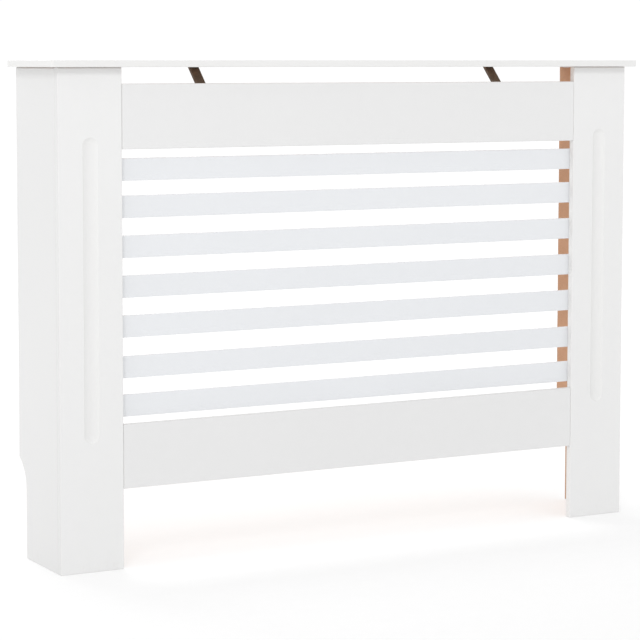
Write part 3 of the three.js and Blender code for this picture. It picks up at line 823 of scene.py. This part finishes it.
def screw_mesh(name, length, pan=False):
    """A wood screw along +Z: its head, a plain neck, a rolled thread and a point."""
    bm = bmesh.new()
    seg, pitch, root = 24, 1.6, 1.15
    if pan:
        head = [(3.0, -1.75), (3.35, -1.25), (3.5, -0.7), (3.5, -0.12), (3.38, 0.0), (1.5, 0.0)]
        cap = [(1.2, -2.17), (2.3, -2.05)]
        neck = 2.0
    else:
        head = [(3.38, 0.25), (3.5, 0.33), (3.5, 0.5), (1.62, 2.38), (1.5, 2.6)]
        cap = []
        neck = 5.0
    rows = [[(r, z)] * seg for r, z in cap + head]
    rows.append([(1.45, neck)] * seg)
    z = neck + 0.4
    while z < length - 0.35:
        fade_in = min(1.0, (z - neck) / 2.4)
        taper = min(1.0, (length - z) / 4.2)
        row = []
        for k in range(seg):
            phase = (z / pitch - k / seg) % 1.0
            crest = max(0.0, 1.0 - abs(phase - 0.5) / 0.24)
            core = (1.45 + (root - 1.45) * fade_in) * (0.12 + 0.88 * taper)
            rim = core + (SCREW_R - 0.02 - root) * crest * fade_in * (0.25 + 0.75 * taper)
            row.append((rim, z))
        rows.append(row)
        z += pitch / 8
    made = [[bm.verts.new((r * math.cos(2 * math.pi * k / seg), r * math.sin(2 * math.pi * k / seg), h)) for k, (r, h) in enumerate(row)] for row in rows]
    for a, b in zip(made, made[1:]):
        for k in range(seg):
            j = (k + 1) % seg
            bm.faces.new((a[k], a[j], b[j], b[k]))
    bm.faces.new(list(reversed(made[0])))
    tip = bm.verts.new((0, 0, length - 0.02))
    for k in range(seg):
        bm.faces.new((made[-1][k], made[-1][(k + 1) % seg], tip))
    bmesh.ops.recalc_face_normals(bm, faces=bm.faces)
    top, wide = (-2.2, 1.75) if pan else (0.25, 1.95)
    bm = minus(bm, [cross_recess(top, 1.9 if pan else 1.8, wide)])
    return mesh_of(name, bm, [bright], 38.0)


shapes = {26: screw_mesh("screw_26", 26.0), 30: screw_mesh("screw_30", 30.0)}
for f in screws:
    m = aim(Vector(f["origin"]) * 0.001, f["direction"])
    piece(f"{f['name']}_threaded", shapes[f["length"]], f["name"], m, False)

# ----------------------------------------------------------------- brackets

pan = screw_mesh("screw_pan", 14.0, True)
for side, s in SIDES:
    leg, t, bend = 40.0, 2.0, 3.0
    arc = [(-bend + bend * math.cos(a), -bend + bend * math.sin(a)) for a in (math.pi / 2 * k / 8 for k in range(9))]
    inner = [(-bend + (bend - t) * math.cos(a), -bend + (bend - t) * math.sin(a)) for a in (math.pi / 2 * (1 - k / 8) for k in range(9))]
    outline = [(0, -leg)] + arc + [(-leg, 0), (-leg, -t)] + inner + [(-t, -leg)]
    bm = prism([(s * (x + SIDE_IN), y + REAR_Y) for x, y in outline], 2, 700.0, 720.0)
    edges = []
    for e in bm.edges:
        a, b = e.verts[0].co, e.verts[1].co
        ends = [abs(p.x - s * (SIDE_IN - leg)) < 1e-3 or abs(p.y - (REAR_Y - leg)) < 1e-3 for p in (a, b)]
        if abs(a.z - b.z) < 1e-6 or all(ends):
            edges.append(e)
    round_edges(bm, edges, 0.35, 2)
    z = 710.0
    holes = [round_hole(2.25, -2, 5, o, d) for _, o, d in bracket_screws(s)]
    holes += [round_hole(2.25, -2, 5, (s * (SIDE_IN - x), REAR_Y - t, z), (0, 1, 0)) for x in (14.0, 31.0)]
    face_numbers(bm)
    bm = minus(bm, holes)
    piece(f"wall_bracket_{side}_plated", mesh_of(f"wall_bracket_{side}_plated", bm, [strip]), f"wall_bracket_{side}")
    for tag, o, d in bracket_screws(s):
        node = f"screw_bracket_{side}_{tag}"
        piece(f"{node}_threaded", pan, node, aim(Vector(o) * 0.001, d), False)

print("open edges:", faults)

# ------------------------------------------------------- floor, light, camera

m, n = material("studio_floor")
at = n.where()
grain = n.noise(at, 40.0, 3.0, 0.5)
# painted light: the floor glows, more strongly away from the cabinet, like a studio's curved backdrop, and a little
# more behind it
away = n.add("ShaderNodeVectorMath", operation="LENGTH")
place = n.add("ShaderNodeTexCoord").outputs["Object"]
n.put(away.inputs[0], place)
rear = n.add("ShaderNodeSeparateXYZ")
n.put(rear.inputs[0], place)
p = n.surface(n.mix(grain, (0.43, 0.43, 0.43), (0.45, 0.45, 0.45)), 0.8, None,
              Specular_IOR_Level=0.1, Emission_Color=(1, 1, 1, 1))
n.put(p.inputs["Emission Strength"], n.math("ADD", n.ease(away.outputs["Value"], 1.2, 3.4, 0.50, 0.615),
                                            n.ease(rear.outputs[1], -0.15, 0.35, 0.0, 0.06)))
bm = bmesh.new()
bmesh.ops.create_circle(bm, cap_ends=True, segments=96, radius=30.0)
bmesh.ops.translate(bm, verts=bm.verts, vec=(0, 0, -0.0003))
me = bpy.data.meshes.new("floor")
bm.to_mesh(me)
bm.free()
me.materials.append(m)
floor = bpy.data.objects.new("floor", me)
scene.collection.objects.link(floor)
floor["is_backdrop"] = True

world = bpy.data.worlds.new("studio")
scene.world = world
world.use_nodes = True
n = Nodes(world.node_tree)
# a white studio, a little brighter overhead and at the horizon than between
bg = n.add("ShaderNodeBackground")
bg.inputs["Color"].default_value = (1, 1, 1, 1)
up = n.add("ShaderNodeSeparateXYZ")
n.put(up.inputs[0], n.add("ShaderNodeTexCoord").outputs["Generated"])
glow = n.span(up.outputs[2], 0.12, 0.35, 1.04, 0.90)
glow = n.math("SUBTRACT", glow, n.span(up.outputs[2], 0.35, 0.62, 0.0, 0.18))
n.put(bg.inputs["Strength"], n.math("ADD", glow, n.span(up.outputs[2], 0.62, 0.92, 0.0, 0.21)))
n.tree.links.new(bg.outputs[0], n.add("ShaderNodeOutputWorld").inputs[0])


def soft_box(name, place, target, size, power, colour=(1, 1, 1)):
    light = bpy.data.lights.new(name, "AREA")
    light.shape, light.size, light.size_y = "RECTANGLE", size[0], size[1]
    light.energy, light.color = power, colour
    o = bpy.data.objects.new(name, light)
    o.location = place
    o.rotation_euler = (Vector(target) - Vector(place)).to_track_quat("-Z", "Y").to_euler()
    o.visible_camera = False
    scene.collection.objects.link(o)
    return o


soft_box("key", (-4.3, -5.2, 4.75), (-0.1, 0, 0.45), (1.6, 1.6), 110.4)
soft_box("strip", (0.1, -1.9, 2.2), (0.1, 0, 0.4), (4.0, 0.5), 4.5)
soft_box("side", (-3.4, -0.4, 3.4), (-0.5, 0, 0.5), (1.6, 1.6), 13.4)
soft_box("back", (0.0, 3.2, 3.4), (0, 0, 0.5), (3.0, 1.6), 62.0)

scene.view_settings.view_transform = "Standard"
scene.view_settings.look = "None"
scene.view_settings.exposure = 0.0
scene.view_settings.gamma = 1.0

cam_data = bpy.data.cameras.new("camera")
cam_data.sensor_fit = "AUTO"
cam_data.sensor_width = 36.0
cam_data.lens = 126.8206
cam_data.shift_x, cam_data.shift_y = 0.070339, -0.120204
cam_data.clip_start, cam_data.clip_end = 0.05, 100.0
cam = bpy.data.objects.new("camera", cam_data)
cam.location = (-1.895908, -3.346803, 0.812808)
cam.rotation_euler = (math.radians(90 - 4.602), 0.0, math.radians(-27.971))
scene.collection.objects.link(cam)
scene.camera = cam

bpy.context.view_layer.update()
lo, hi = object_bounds()
